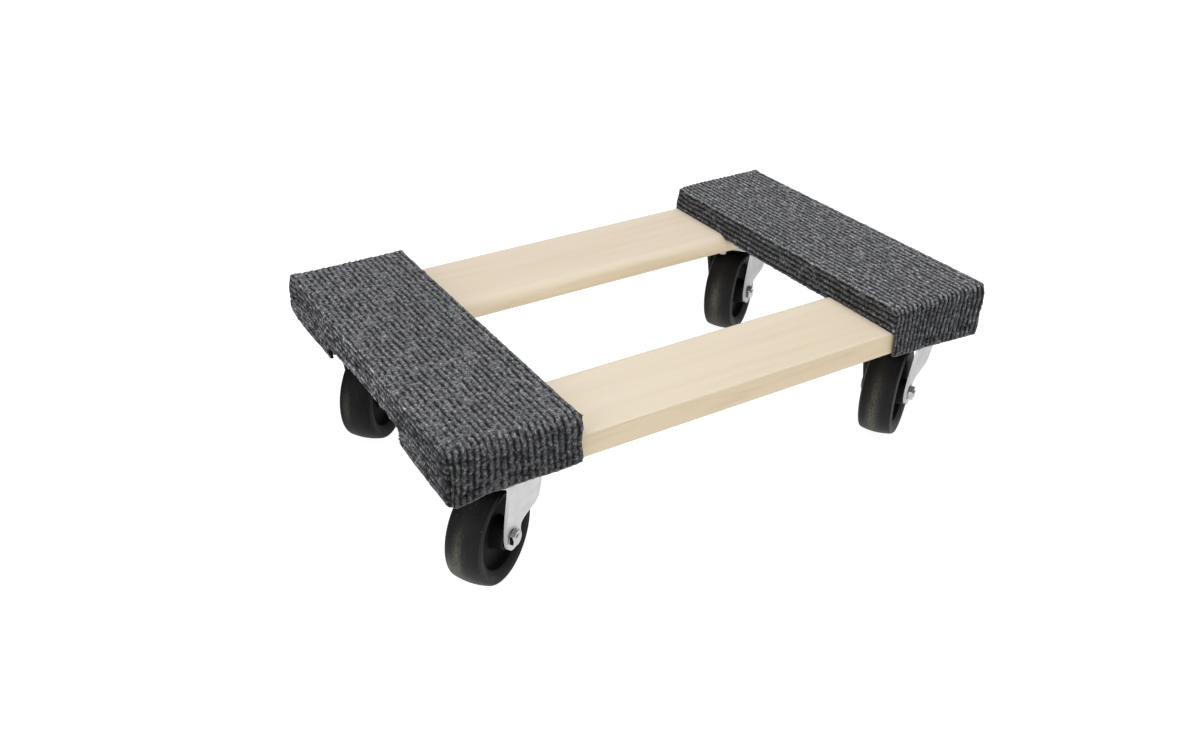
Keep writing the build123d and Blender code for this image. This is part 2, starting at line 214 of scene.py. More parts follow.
def wood_material(name, along, move=(0, 0, 0), top=(1, 1, 1), side=1.0, bevel_highlight=1.0, red=0.55):
    """Pale planed softwood, grain along X or Y; painted light: darker on down-facing faces, lighter on top and on the
    rounded edge.
    """
    s = Shader(name)
    place = s.scaled(s.coords(), (1, 1, 1), move)
    if along == "Y":
        place = s.scaled(place, (1, 1, 1), (0, 0, 0), (0, 0, math.pi / 2))
    wander = s.noise(s.scaled(place, (4.0, 26.0, 26.0)), detail=2.0, rough=0.45)
    streaks = s.noise(s.scaled(place, (5.0, 150.0, 150.0)), detail=4.0, rough=0.55, distortion=0.35)
    pores = s.noise(s.scaled(place, (55.0, 1500.0, 1500.0)), detail=2.0, rough=0.6)
    rings = s.node("ShaderNodeTexWave", wave_type="BANDS", bands_direction="Y", wave_profile="SAW")
    s.put(rings.inputs["Vector"], s.scaled(place, (0.35, 1.0, 1.0)))
    rings.inputs["Scale"].default_value = 26.0
    rings.inputs["Distortion"].default_value = 5.0
    rings.inputs["Detail"].default_value = 2.0
    rings.inputs["Detail Scale"].default_value = 0.7
    grain = s.math("ADD", s.math("MULTIPLY", streaks, 0.30), s.math("MULTIPLY", rings.outputs["Fac"], 0.08))
    grain = s.math("ADD", grain, s.math("MULTIPLY", wander, 0.60))
    colour = s.ramp(grain, (
        (0.26, (0.716, 0.636, 0.516)),
        (0.48, (0.690, 0.600, 0.470)),
        (0.74, (0.630, 0.528, 0.392))))
    colour = s.mix(s.remap(pores, 0.58, 0.76, 0.0, 0.12), colour, (0.58, 0.47, 0.33))
    # painted light and shade: the colour is scaled by which way the face looks, darker turned down, with side and bevel
    # factors for the sides and the rounded edge
    lie = s.remap(s.split(s.normals())[2], -1.0, 1.0)
    light_by_facing = s.ramp(lie, ((0.0, (0.80, 0.73, 0.60)), (0.25, (0.90, 0.845, 0.73)), (0.5, (side, 0.955 * side, 0.86 * side)),
                        (0.8, (bevel_highlight, 0.99 * bevel_highlight, 0.97 * bevel_highlight)), (1.0, top)))
    colour = s.mix(1.0, colour, light_by_facing, "MULTIPLY")
    upright = s.remap(s.math("ABSOLUTE", s.split(s.normals())[2]), 0.75, 0.35, 0.0, 1.0)
    flecks = s.noise(s.scaled(place, (9.0, 90.0, 130.0), (3.0, 1.0, 2.0)), detail=3.0, rough=0.55, distortion=0.4)
    reddish = s.math("MULTIPLY", upright, s.remap(flecks, 0.50, 0.72, 0.0, red))
    colour = s.mix(reddish, colour, (0.560, 0.420, 0.270))
    normal = s.bump(pores, 0.00025, 0.35, s.bump(streaks, 0.0004, 0.4))
    return s.surface(colour, s.remap(streaks, 0.3, 0.7, 0.50, 0.62), normal, Specular_IOR_Level=0.35)


def zinc_material(name, bright, rough, mottle=0.06, metallic=1.0, corner=None):
    """Zinc plate on pressed or turned steel: satin, faintly clouded, with fine rolling marks. On a fork, the inside of
    the legs and the underside of the crown are painted nearly black as painted shade, and the near leg's sheet edge is
    painted light grey as painted light."""
    s = Shader(name)
    place = s.coords()
    cloud = s.noise(place, scale=95.0, detail=3.0, rough=0.55)
    fine = s.noise(place, scale=900.0, detail=2.0, rough=0.6)
    tone = s.math("ADD", s.math("MULTIPLY", cloud, 0.7), s.math("MULTIPLY", fine, 0.3))
    dim, full = bright * (1.0 - mottle * 1.6), bright * (1.0 + mottle)
    colour = s.ramp(tone, (
        (0.30, (dim * 0.985, dim, dim * 1.01)),
        (0.70, (full * 0.995, full, full * 1.005))))
    if corner:
        x, y = CASTER_AT[corner]
        yaw = math.radians(YAW[corner])
        axle, roll = (-math.cos(yaw), -math.sin(yaw), 0.0), (-math.sin(yaw), math.cos(yaw), 0.0)
        ahead = s.math("SUBTRACT", s.dot(place, roll), (x * roll[0] + y * roll[1]) * MM)
        on_leg = s.remap(ahead, 0.0225, 0.0245, 1.0, 0.0)
        aside = s.math("SUBTRACT", s.dot(place, axle), (x * axle[0] + y * axle[1]) * MM)
        facing = s.math("MULTIPLY", aside, s.dot(s.normals(), axle))
        # painted shade: the inside of the legs, the far leg's edge and the underside of the crown are painted nearly
        # black, rougher and less shiny
        inside_shade = s.remap(facing, -0.004, -0.011, 0.0, 1.0)
        far = s.math("MULTIPLY", s.remap(aside, 0.008, 0.011), s.remap(facing, 0.007, 0.003))
        inside_shade = s.math("MAXIMUM", inside_shade, s.math("MULTIPLY", far, on_leg))
        # painted light: the near leg's sheet edge is painted a light, less metallic grey where the wheel shades it
        lit_edge = s.math("MULTIPLY", s.remap(aside, -0.0120, -0.0145), s.remap(s.math("ABSOLUTE", facing), 0.006, 0.002))
        lit_edge = s.math("MULTIPLY", lit_edge, on_leg)
        under_shade = s.remap(s.split(s.normals())[2], -0.45, -0.8, 0.0, 1.0)
        inner_shade = s.math("MULTIPLY", s.math("MAXIMUM", inside_shade, under_shade), s.remap(cloud, 0.3, 0.7, 0.98, 0.90))
        colour = s.mix(s.math("MULTIPLY", lit_edge, 0.9), colour, (0.84, 0.85, 0.86))
        colour = s.mix(inner_shade, colour, (0.016, 0.016, 0.017))
    roughness = s.remap(tone, 0.3, 0.7, rough + 0.07, rough - 0.05)
    if not corner:
        return s.surface(colour, roughness, s.bump(fine, 0.00006, 0.35), metallic=metallic)
    roughness = s.math("ADD", roughness, s.math("MULTIPLY", inner_shade, 0.4), clamp=True)
    made = s.surface(colour, roughness, s.bump(fine, 0.00006, 0.35))
    skin = s.out.inputs["Surface"].links[0].from_node
    s.put(skin.inputs["Metallic"], s.math("MULTIPLY", s.remap(lit_edge, 0.0, 1.0, metallic, 0.1), s.remap(inner_shade, 0.0, 0.9, 1.0, 0.0)))
    s.put(skin.inputs["Specular IOR Level"], s.remap(inner_shade, 0.0, 0.9, 0.5, 0.04))
    return made


def wire_material():
    s = Shader("staple_wire")
    dull = s.noise(s.coords(), scale=700.0, detail=2.0)
    colour = s.ramp(dull, ((0.35, (0.020, 0.020, 0.021)), (0.65, (0.055, 0.055, 0.057))))
    return s.surface(colour, s.remap(dull, 0.3, 0.7, 0.75, 0.6), s.bump(dull, 0.00008, 0.4), metallic=1.0)


def nylon_material():
    s = Shader("bush_nylon")
    cloud = s.noise(s.coords(), scale=160.0, detail=2.0)
    colour = s.ramp(cloud, ((0.3, (0.55, 0.54, 0.50)), (0.7, (0.66, 0.65, 0.61))))
    return s.surface(colour, s.remap(cloud, 0.3, 0.7, 0.38, 0.5), s.bump(cloud, 0.00005, 0.3),
                     Subsurface_Weight=0.05, Subsurface_Scale=0.002)


def wheel_material(name, gloss):
    """Moulded black: dusty patches on the tread, a lighter band along its shoulders that is partly wear and partly
    painted highlight, dark in the recess.
    """
    s = Shader(name)
    local, spin = s.attribute("local", "Vector"), s.split(s.attribute("spin", "Vector"))
    radius, dirt, wear_and_highlight_amount = spin
    patch = s.noise(s.scaled(local, (0.085, 0.085, 0.085)), detail=4.0, rough=0.6)
    streak = s.noise(s.scaled(local, (0.07, 0.85, 0.07)), detail=3.0, rough=0.6)
    grain = s.noise(s.scaled(local, (0.55, 0.75, 0.55)), detail=3.0, rough=0.65)
    specks = s.noise(s.scaled(local, (1.1, 1.1, 1.1), (17.0, 5.0, 3.0)), detail=2.0, rough=0.7)
    tread = s.remap(radius, 35.4, 36.1, 0.0, 1.0, smooth=True)
    dust = s.math("MULTIPLY", dirt, s.remap(grain, 0.30, 0.66, 0.25, 1.25))
    dust = s.math("MULTIPLY", s.math("MULTIPLY", dust, s.remap(streak, 0.30, 0.62, 0.75, 1.15)), tread, clamp=True)
    grit = s.math("MULTIPLY", s.remap(specks, 0.62, 0.72, 0.0, 0.9), s.math("MULTIPLY", dirt, tread))
    chips = s.noise(s.scaled(local, (0.62, 0.62, 0.62), (7.0, 29.0, 41.0)), detail=1.0, rough=0.5)
    chips = s.math("MULTIPLY", s.remap(chips, 0.76, 0.84, 0.0, 0.5), tread)
    grit = s.math("MAXIMUM", grit, chips)
    shine = s.math("MULTIPLY", s.remap(streak, 0.50, 0.74, 0.0, 0.45), tread)
    # a lighter band along the shoulders: partly wear, partly painted highlight along the edge
    shoulder_wear_and_highlight = s.math("MULTIPLY", s.remap(radius, 34.2, 35.0, 0.0, 1.0, smooth=True), s.remap(radius, 35.4, 36.0, 1.0, 0.0, smooth=True))
    black = s.ramp(patch, ((0.3, (0.0058, 0.0058, 0.0066)), (0.7, (0.0092, 0.0092, 0.0102))))
    colour = s.mix(s.remap(radius, 34.4, 31.0, 0.0, 0.85), black, (0.0085, 0.0086, 0.0100))
    colour = s.mix(shine, colour, (0.0240, 0.0240, 0.0250))
    colour = s.mix(s.math("MULTIPLY", dust, 0.90), colour, (0.140, 0.138, 0.110))
    colour = s.mix(grit, colour, (0.33, 0.325, 0.29))
    colour = s.mix(s.math("MULTIPLY", s.math("MULTIPLY", shoulder_wear_and_highlight, wear_and_highlight_amount), s.remap(grain, 0.30, 0.62, 0.5, 1.0)), colour, (0.085, 0.085, 0.088))
    rough = s.math("ADD", s.remap(streak, 0.3, 0.7, 0.46, 0.60), s.math("MULTIPLY", dust, 0.25))
    normal = s.bump(specks, 0.00010, 0.5, s.bump(streak, 0.00018, 0.4))
    made = s.surface(colour, rough, normal)
    skin = s.out.inputs["Surface"].links[0].from_node
    s.put(skin.inputs["Specular IOR Level"], s.remap(radius, 32.0, 27.0, gloss, 0.3 * gloss))
    return made


CARPET = carpet_material()
WOOD_X, WOOD_Y = wood_material("rail_wood", "X"), wood_material("board_wood", "Y")
# the rear rail's copy has lighter sides and a lighter band on its rounded edge as painted highlight; its grain is
# shifted and its top slightly pinker
WOOD_REAR_HIGHLIT = wood_material("rear_rail_wood_highlit", "X", (0.0, 0.31, 0.0), (0.965, 0.955, 0.965), 1.11, 1.05, 0.25)
ZINC = zinc_material("zinc_sheet", 0.60, 0.42, metallic=0.75)
# the forks' brightness differs per corner for how much light reaches each: painted shade
FORK = {corner: zinc_material("zinc_fork_" + corner, bright, 0.42, metallic=0.75, corner=corner) for corner, bright in (
    ("front_left", 0.61), ("front_right", 0.48), ("rear_right", 0.44), ("rear_left", 0.54))}
FASTENER = zinc_material("zinc_fastener", 0.52, 0.13, 0.28)
SCREW = zinc_material("screw_steel", 0.36, 0.30, 0.25)
BALL = zinc_material("ball_steel", 0.66, 0.12, 0.02)
WIRE, NYLON = wire_material(), nylon_material()
# the rear left wheel gets a less glossy copy of the rubber so that it reads darker: painted shade
RUBBER, RUBBER_SHADED = wheel_material("wheel_rubber", 0.16), wheel_material("wheel_rubber_shaded", 0.07)
# the axle bolts get the same painted shade and painted light masks as the forks
BOLT = {corner: zinc_material("zinc_bolt_" + corner, 0.52, 0.13, 0.28, corner=corner) for corner in YAW}

FINISH = (("rail_front", WOOD_X), ("rail_rear", WOOD_REAR_HIGHLIT), ("cross_board", WOOD_Y), ("pad_carpet", CARPET), ("deck_screws", SCREW),
          ("carpet_staples", WIRE), ("caster_screws", SCREW), ("_plate", ZINC), ("_fork", ZINC),
          ("_lower_race", ZINC), ("_kingpin", FASTENER), ("_axle_bolt", FASTENER), ("_axle_nut", FASTENER),
          ("_axle_sleeve", FASTENER), ("_hub_bush", NYLON), ("_wheel", RUBBER), ("_balls", BALL))
for name, node in NODES.items():
    finish = [m for key, m in FINISH if (name.startswith(key) if key[0] != "_" else name.endswith(key))]
    node.data.materials.clear()
    own = FORK.get(name[:-5]) if name.endswith("_fork") else BOLT.get(name[:-10]) if name.endswith("_axle_bolt") else None
    node.data.materials.append(own or finish[0])


# ---- mesh helpers --------------------------------------------------------------------------------
LATTICE = {seed: np.random.default_rng(seed).uniform(-1.0, 1.0, (32, 32, 32)) for seed in range(40)}


def ripple(a, b, c, seed):
    """Smooth noise from -1 to 1 with one lattice cell per unit."""
    p = np.stack(np.broadcast_arrays(a, b, c), axis=-1).astype(float)
    low = np.floor(p).astype(int)
    f = p - low
    f = f * f * (3.0 - 2.0 * f)
    i, j = low % 32, (low + 1) % 32
    g = LATTICE[seed]
    total = 0.0
    for u, wu in ((i[..., 0], 1 - f[..., 0]), (j[..., 0], f[..., 0])):
        for v, wv in ((i[..., 1], 1 - f[..., 1]), (j[..., 1], f[..., 1])):
            for w, ww in ((i[..., 2], 1 - f[..., 2]), (j[..., 2], f[..., 2])):
                total = total + g[u, v, w] * wu * wv * ww
    return total


def smooth(value, low, high):
    t = np.clip((value - low) / (high - low), 0.0, 1.0)
    return t * t * (3.0 - 2.0 * t)


def new_object(name, points, faces, material):
    mesh = bpy.data.meshes.new(name)
    mesh.from_pydata([tuple(p) for p in points], [], [tuple(int(i) for i in f) for f in faces])
    mesh.materials.append(material)
    mesh.polygons.foreach_set("use_smooth", np.ones(len(mesh.polygons), dtype=bool))
    mesh.update()
    made = bpy.data.objects.new(name, mesh)
    scene.collection.objects.link(made)
    return made


def set_attribute(made, name, values, kind="FLOAT"):
    layer = made.data.attributes.new(name, kind, "POINT")
    layer.data.foreach_set("value" if kind == "FLOAT" else "vector", np.ascontiguousarray(values, np.float32).ravel())


# ---- carpet covers -------------------------------------------------------------------------------
# One cut of ribbed needle-punch carpet per pad. Its ribs run across the dolly on top, go over the end
# edges and down the end faces, and lie flat along the inner and outer faces. Between the rails it is
# turned under the board. Local x is the distance from the middle of the dolly, in millimetres.
X_IN, X_OUT, Y_END, Z_TOP = 134.5, 228.5, 146.5, 132.0
Z_HEM, Z_RAIL, Z_FLAP = 92.0, 112.0, 107.8
FOLD_R = 3.6
TURNED = 62.5            # half length of the stretch that is turned under, between the rails
ON_RAIL = 74.0           # from here outward the inner face stands on the rail's flat top
FLAP, THICK, PITCH, RIB = 26.0, 3.8, 4.4, 1.25
NEAR = 1e-6


def table(value, *pairs):
    """Straight-line interpolation through pairs of place and amount."""
    return np.interp(value, [p[0] for p in pairs], [p[1] for p in pairs])


class LeftPad:
    """The pad on the left: fuzzier, a little swollen at its far corner, with tucks in its near end."""
    name, side, seed = "carpet_left", -1, 0
    fuzz, closed, sharp, light = 0.55, -0.32, 0.95, 0.92
    near_r, far_r, edge_r = 10.5, 2.6, 2.6
    corners = ((1, -1, 7.5), (1, 1, 3.0))
    thin, seamed, felted = 0.12, 0.35, 0.10
    notch = (-66.5, 75.0)
    hem_near = ((134.5, 3.1), (153.0, 1.1), (170.0, 2.3), (190.0, 1.2), (204.0, 2.2), (213.0, -0.2), (221.0, -1.0), (228.5, -0.4))
    hem_far = ((134.5, 0.5), (180.0, -0.4), (212.0, 0.8), (222.0, 3.0), (228.5, 5.0))
    hem_out = ((-146.5, -0.4), (-110.0, -0.6), (-66.5, 1.8), (70.0, 1.4), (114.0, 0.4), (130.0, 0.9), (139.0, 2.6), (146.5, 5.0))
    hang = ((-66.0, 4.3), (-53.0, 2.8), (-26.0, 1.8), (16.0, 2.3), (34.0, 3.7), (52.0, 5.7), (69.0, 6.2), (75.0, 5.8))
    slant, narrow, dusk = 0.70, 1.5, 0.36
    middle, shade = 0.35, 0.0
    swell = ((228.5, 146.5, 121.0, 3.6, 9.0), (228.5, 146.5, 104.0, 5.0, 12.0), (228.5, -146.5, 126.0, 2.0, 9.0),
             (228.5, -146.5, 99.0, 1.8, 9.0), (134.5, -146.5, 124.0, 2.2, 13.0), (134.5, -146.5, 97.0, 2.2, 11.0))
    crisp = ((228.5, 146.5, 132.0, 12.0, 0.85), (134.5, 146.5, 132.0, 10.0, 0.70), (228.5, -146.5, 132.0, 9.0, 0.45))
    tucks = (("near", (221.0, 124.6), (10.0, 1.1), 1.3, 0.20), ("near", (196.0, 118.5), (8.0, 0.9), 0.8, 0.1),
             ("near", (152.0, 100.4), (8.5, 1.2), 0.6, -0.02), ("near", (178.0, 101.6), (7.0, 2.2), 0.9, 0.0),
             ("outer", (-137.0, 123.5), (13.0, 1.3), 1.5, 0.0), ("outer", (-139.0, 115.0), (9.0, 1.0), 0.7, 0.0))

    @staticmethod
    def lean(x, near):
        return -0.02 + 0.05 * np.sin((x - X_IN) / 17.0)


class RightPad:
    """The pad on the right: crisper ribs that lean on the near end, and a hem that dips at the corner."""
    name, side, seed = "carpet_right", 1, 10
    fuzz, closed, sharp, light = 0.32, -0.58, 0.99, 1.15
    near_r, far_r, edge_r = 5.4, 4.2, 4.2
    corners = ((1, -1, 6.0),)
    thin, seamed, felted = 0.0, 1.0, 0.35
    notch = (-68.0, 68.0)
    hem_near = ((134.5, 0.8), (142.0, 0.5), (157.0, -0.2), (173.0, -0.4), (190.0, -1.9), (207.0, -2.6), (228.5, -4.3))
    hem_far = ((134.5, 0.0), (170.0, 0.7), (228.5, -0.3))
    hem_out = ((-146.5, -4.3), (-68.0, -0.8), (68.0, 0.6), (146.5, -0.3))
    hang = ((-67.0, 3.2), (-40.0, 2.0), (10.0, 1.6), (45.0, 2.4), (67.0, 3.4))
    slant, narrow, dusk = 0.0, 1.25, 0.0
    middle, shade = 0.0, 0.11
    swell = ((228.5, -146.5, 119.0, 1.2, 9.0), (134.5, -146.5, 108.0, 1.3, 9.0), (228.5, 146.5, 120.0, 1.0, 9.0),
             (134.5, 146.5, 131.0, -2.9, 11.0))
    crisp = ((228.5, 146.5, 132.0, 7.0, 0.6),)
    tucks = ()

    @staticmethod
    def lean(x, near):
        return np.where(near, 0.12 * np.sin((x - X_IN) / 94.0 * math.pi), 0.0)


STAPLED = tuple((face, (x, z), (8.0, 1.7), 1.0, 0.0)
                for face in ("near", "far") for x, z in ((172.5, 98.5), (211.5, 100.0))) + tuple(
                    ("outer", (y, 98.0), (8.0, 1.7), 1.0, 0.0) for y in (-112.0, 112.0))


def runs(*stops):
    """Grid lines through the given places, with about the given spacing between them."""
    lines = [stops[0]]
    for spacing, stop in zip(stops[1::2], stops[2::2]):
        count = max(1, round(abs(stop - lines[-1]) / spacing))
        lines.extend(np.linspace(lines[-1], stop, count + 1)[1:])
    return np.array(lines)


def thinned(lines, step, keep, close):
    """Every step-th grid line, all those in keep, and every other one close to both ends."""
    chosen = [i for i, v in enumerate(lines)
              if i % step == 0 or i == len(lines) - 1 or any(abs(v - k) < NEAR for k in keep)
              or any(abs(v - e) < close and i % 2 == 0 for e in (lines[0], lines[-1]))]
    return lines[chosen]


def patches(pad, xs, ys, zs, inner_flap, outer_flap):
    """The sharp-edged carpet as grids: points on a grid, which cells are there, outward direction."""
    mid_y, mid_z = (ys[1:] + ys[:-1]) / 2, (zs[1:] + zs[:-1]) / 2
    every = lambda a, b: np.ones((len(a) - 1, len(b) - 1), bool)
    yy, zz = np.meshgrid(mid_y, mid_z, indexing="ij")
    start, end = pad.notch
    hem = np.where((yy < start) | (yy > end), Z_HEM, Z_FLAP)
    lip = np.where(np.abs(yy) > ON_RAIL, Z_RAIL, Z_FLAP)
    grid = lambda a, b: np.meshgrid(a, b, indexing="ij")
    x, y = grid(xs, ys)
    yield np.stack((x, y, x * 0 + Z_TOP), -1), every(xs, ys), (0, 0, 1)
    x, z = grid(xs, zs)
    for way in (-1, 1):
        yield np.stack((x, x * 0 + way * Y_END, z), -1), every(xs, zs), (0, way, 0)
    y, z = grid(ys, zs)
    yield np.stack((y * 0 + X_OUT, y, z), -1), zz > hem, (1, 0, 0)
    yield np.stack((y * 0 + X_IN, y, z), -1), zz > lip, (-1, 0, 0)
    for flap in (inner_flap, outer_flap):
        x, y = grid(flap, ys)
        yield np.stack((x, y, x * 0 + Z_FLAP), -1), np.repeat(np.abs(mid_y)[None, :] < TURNED, len(flap) - 1, 0), (0, 0, -1)


def welded(parts):
    """Grids welded into one list of points and quads, wound so that they face outward."""
    points, quads, start = [], [], 0
    for grid, mask, out in parts:
        n, m = grid.shape[:2]
        index = start + np.arange(n * m).reshape(n, m)
        quad = np.stack((index[:-1, :-1], index[1:, :-1], index[1:, 1:], index[:-1, 1:]), -1)[mask]
        facing = np.cross(grid[1, 0] - grid[0, 0], grid[0, 1] - grid[0, 0]) @ np.array(out)
        quads.append(quad if facing > 0 else quad[:, ::-1])
        points.append(grid.reshape(-1, 3))
        start += n * m
    points, quads = np.concatenate(points), np.concatenate(quads)
    used = np.unique(quads)
    keys = np.round(points * 1000).astype(np.int64)
    _, first, inverse = np.unique(keys[used], axis=0, return_index=True, return_inverse=True)
    lookup = np.zeros(len(points), int)
    lookup[used] = inverse.ravel()
    return points[used][first], lookup[quads]


def vertex_normals(points, quads):
    a, b, c, d = (points[quads[:, i]] for i in range(4))
    face = np.cross(c - a, d - b)
    total = np.zeros_like(points)
    for i in range(4):
        np.add.at(total, quads[:, i], face)
    return total / np.maximum(np.linalg.norm(total, axis=1), 1e-9)[:, None]


class Wrapped:
    """Sharp-edged points moved to the rounded sheet: places, normals and the sheet's own coordinates,
    across the ribs and along them."""

    def __init__(self, pad, p, quads):
        x, y, z = p.T
        END_R, EDGE_R = np.where(y < 0, pad.near_r, pad.far_r), min(pad.edge_r, pad.far_r)
        self.x, self.y, self.z = x, y, z
        self.top, self.end = np.abs(z - Z_TOP) < NEAR, np.abs(np.abs(y) - Y_END) < NEAR
        self.outer = x > (X_IN + X_OUT) / 2
        start, stop = pad.notch
        between = np.abs(y) < TURNED + NEAR
        self.flap = (np.abs(z - Z_FLAP) < NEAR) & between & ~self.end & (
            (x > X_OUT - FLAP - NEAR) | (x < X_IN + FLAP + NEAR))
        on_side = (np.abs(x - X_OUT) < NEAR) | (np.abs(x - X_IN) < NEAR)
        self.fold = between & (z < Z_FLAP + FOLD_R) & (self.flap | on_side) & ~self.end
        self.sides = on_side & ~self.top & ~self.end & ~self.flap

        # bend over the end edges, in the section across the pad
        ay = np.abs(y)
        qy, qz = ay - (Y_END - END_R), z - (Z_TOP - END_R)
        both = (qy > 0) & (qz > 0)
        length = np.maximum(np.hypot(qy, qz), 1e-9)
        squeeze = np.where(both, np.maximum(qy, qz) / length, 1.0)
        ny = np.where(both, qy / length, np.where(qy > qz, 1.0, 0.0))
        nz = np.where(both, qz / length, np.where(qy > qz, 0.0, 1.0))
        depth = END_R - np.maximum(qy, qz)

        # bend over the inner and outer edges
        skin = self.top | self.end
        from_edge = np.where(self.outer, X_OUT - x, x - X_IN)
        tilt = np.where(skin, np.arctan(np.clip(EDGE_R - from_edge, 0, None) / EDGE_R),
                        math.pi / 2 - np.arctan(np.clip(EDGE_R - depth, 0, None) / EDGE_R))
        pull = np.where(skin | (depth < EDGE_R), depth - EDGE_R * (1.0 - np.cos(tilt)), 0.0)
        py = Y_END - END_R + qy * squeeze + ny * pull
        pz = Z_TOP - END_R + qz * squeeze + nz * pull
        bent = np.where(self.outer, X_OUT - EDGE_R + EDGE_R * np.sin(tilt), X_IN + EDGE_R - EDGE_R * np.sin(tilt))
        px = np.where(skin & (from_edge >= EDGE_R), x, bent)
        place = np.stack((px, np.where(ay > 0, np.sign(y), 1.0) * py, pz), -1)
        deep = ~skin & (depth >= EDGE_R)
        place[deep, 1], place[deep, 2] = y[deep], z[deep]

        # turned under the board
        centre = np.stack((np.where(self.outer, np.minimum(x, X_OUT - FOLD_R), np.maximum(x, X_IN + FOLD_R)), y,
                           np.full(len(x), Z_FLAP + FOLD_R)), -1)
        away = p - centre
        away /= np.maximum(np.linalg.norm(away, axis=1), 1e-9)[:, None]
        eased = on_side & ~self.end & (z < Z_FLAP + FOLD_R) & (z > Z_FLAP - NEAR) & (ay < ON_RAIL)
        share = np.where(self.fold, 1.0, np.where(eased, 1.0 - smooth(ay, TURNED, 69.0), 0.0))[:, None]
        place = place + share * (centre + FOLD_R * away - place)

        # the sheet's own coordinates
        quarter = math.pi / 2
        arc = EDGE_R * np.arctan(np.clip(EDGE_R - from_edge, 0, None) / EDGE_R)
        over_x = np.where(from_edge < EDGE_R, np.where(self.outer, X_OUT - EDGE_R + arc, X_IN + EDGE_R - arc), x)
        high = Z_TOP - EDGE_R
        down = np.where(z > high, EDGE_R * (quarter - np.arctan((z - high) / EDGE_R)), EDGE_R * quarter + high - z)
        fold_run = EDGE_R * quarter + high - (Z_FLAP + FOLD_R)
        reach = np.where(self.outer, X_OUT - FOLD_R - x, x - X_IN - FOLD_R)
        down = np.where(self.fold & ~self.flap, fold_run + FOLD_R * np.arctan((Z_FLAP + FOLD_R - z) / FOLD_R), down)
        down = np.where(self.flap, fold_run + np.where(
            reach < 0, FOLD_R * (quarter - np.arctan(-reach / FOLD_R)), FOLD_R * quarter + reach), down)
        beside = np.where(self.outer, X_OUT - EDGE_R + down, X_IN + EDGE_R - down)
        self.drop = np.where(self.end, np.where(qz > 0, END_R * (quarter - np.arctan(qz / END_R)), END_R * quarter - qz),
                             np.where(qy > 0, END_R * np.arctan(qy / END_R), 0.0))
        self.across = np.where(skin, over_x, beside)
        self.along = np.sign(y) * np.where(skin, np.minimum(ay, Y_END - END_R) + self.drop, ay)

        # lower edges, the slack of the turned-under stretch, and swollen corners
        skirt = self.end | (self.outer & self.sides & ((y < start + NEAR) | (y > stop - NEAR)))
        hem = np.where(self.end, np.where(y < 0, table(x, *pad.hem_near), table(x, *pad.hem_far)), table(y, *pad.hem_out))
        self.low = np.where(skirt, 1.0 - smooth(z, Z_HEM, Z_HEM + 18.0), 0.0)
        place[:, 2] += self.low * hem
        slack = np.where(self.flap, np.exp(-(np.where(self.outer, X_OUT - x, x - X_IN) / 9.0) ** 2),
                         np.where(z > Z_FLAP - NEAR, np.clip((120.0 - z) / (120.0 - Z_FLAP), 0, 1) ** 1.5,
                                  (z - Z_HEM) / (Z_FLAP - Z_HEM)))
        past = np.maximum(np.maximum(start - y, y - stop), 0.0)
        tucked = 1.0 - smooth(ay, 50.0, TURNED)
        tucked = np.where(self.flap & self.outer, 1.0 - (1.0 - tucked) * smooth(X_OUT - x, 0.0, 9.0), tucked)
        slack = slack * np.where(self.outer & self.sides, np.exp(-(past / 7.0) ** 2),
                                 np.where(self.sides | self.flap, tucked, 0.0))
        place[:, 2] -= slack * np.where(self.outer, table(y, *pad.hang), 0.8)
        torn = np.where(self.outer & self.sides & (y > stop - NEAR), np.exp(-(past / 7.0) ** 2), 0.0)
        place[:, 1] -= pad.slant * torn * np.clip(101.5 - place[:, 2], 0.0, 9.0)
        self.torn = torn * (1.0 - smooth(z, Z_FLAP, Z_FLAP + 5.0))
        self.thick = THICK * (1.0 - pad.thin * self.torn)

        # the inner face ends on the rail's rounded edge
        rail = 103.5 + np.sqrt(np.clip(8.5 ** 2 - np.clip(ON_RAIL - ay, 0.0, 8.5) ** 2, 0.0, None))
        rail = np.clip(rail, Z_FLAP, Z_RAIL - 0.4)
        foot = self.sides & ~self.outer & (ay > TURNED + NEAR) & (ay < ON_RAIL + NEAR) & (z < Z_RAIL)
        place[:, 2] = np.where(foot, rail + (place[:, 2] - Z_FLAP) / (Z_RAIL - Z_FLAP) * (Z_RAIL - rail), place[:, 2])

        # rounded upright corners
        for cx, cy, size in pad.corners:
            vx = size - (X_OUT - place[:, 0] if cx > 0 else place[:, 0] - X_IN)
            vy = size - (Y_END - cy * place[:, 1])
            shrink = np.where((vx > 0) & (vy > 0), np.maximum(vx, vy) / np.maximum(np.hypot(vx, vy), 1e-9), 1.0)
            place[:, 0] -= cx * np.where(shrink < 1.0, vx * (1.0 - shrink), 0.0)
            place[:, 1] -= cy * np.where(shrink < 1.0, vy * (1.0 - shrink), 0.0)
        for cx, cy, cz, reach, amount in pad.crisp:
            pull = amount * np.exp(-((x - cx) ** 2 + (y - cy) ** 2 + (z - cz) ** 2) / reach ** 2)
            place += pull[:, None] * (p - place)
        for cx, cy, cz, amount, tall in pad.swell:
            reach = np.hypot(px - cx, y - cy)
            size = amount * np.exp(-(reach / 13.0) ** 2 - ((z - cz) / tall) ** 2)
            place[:, 0] += np.sign(cx - 181.5) * 0.7 * size
            place[:, 1] += np.sign(cy) * 0.7 * size
        self.place, self.normal = place, vertex_normals(place, quads)


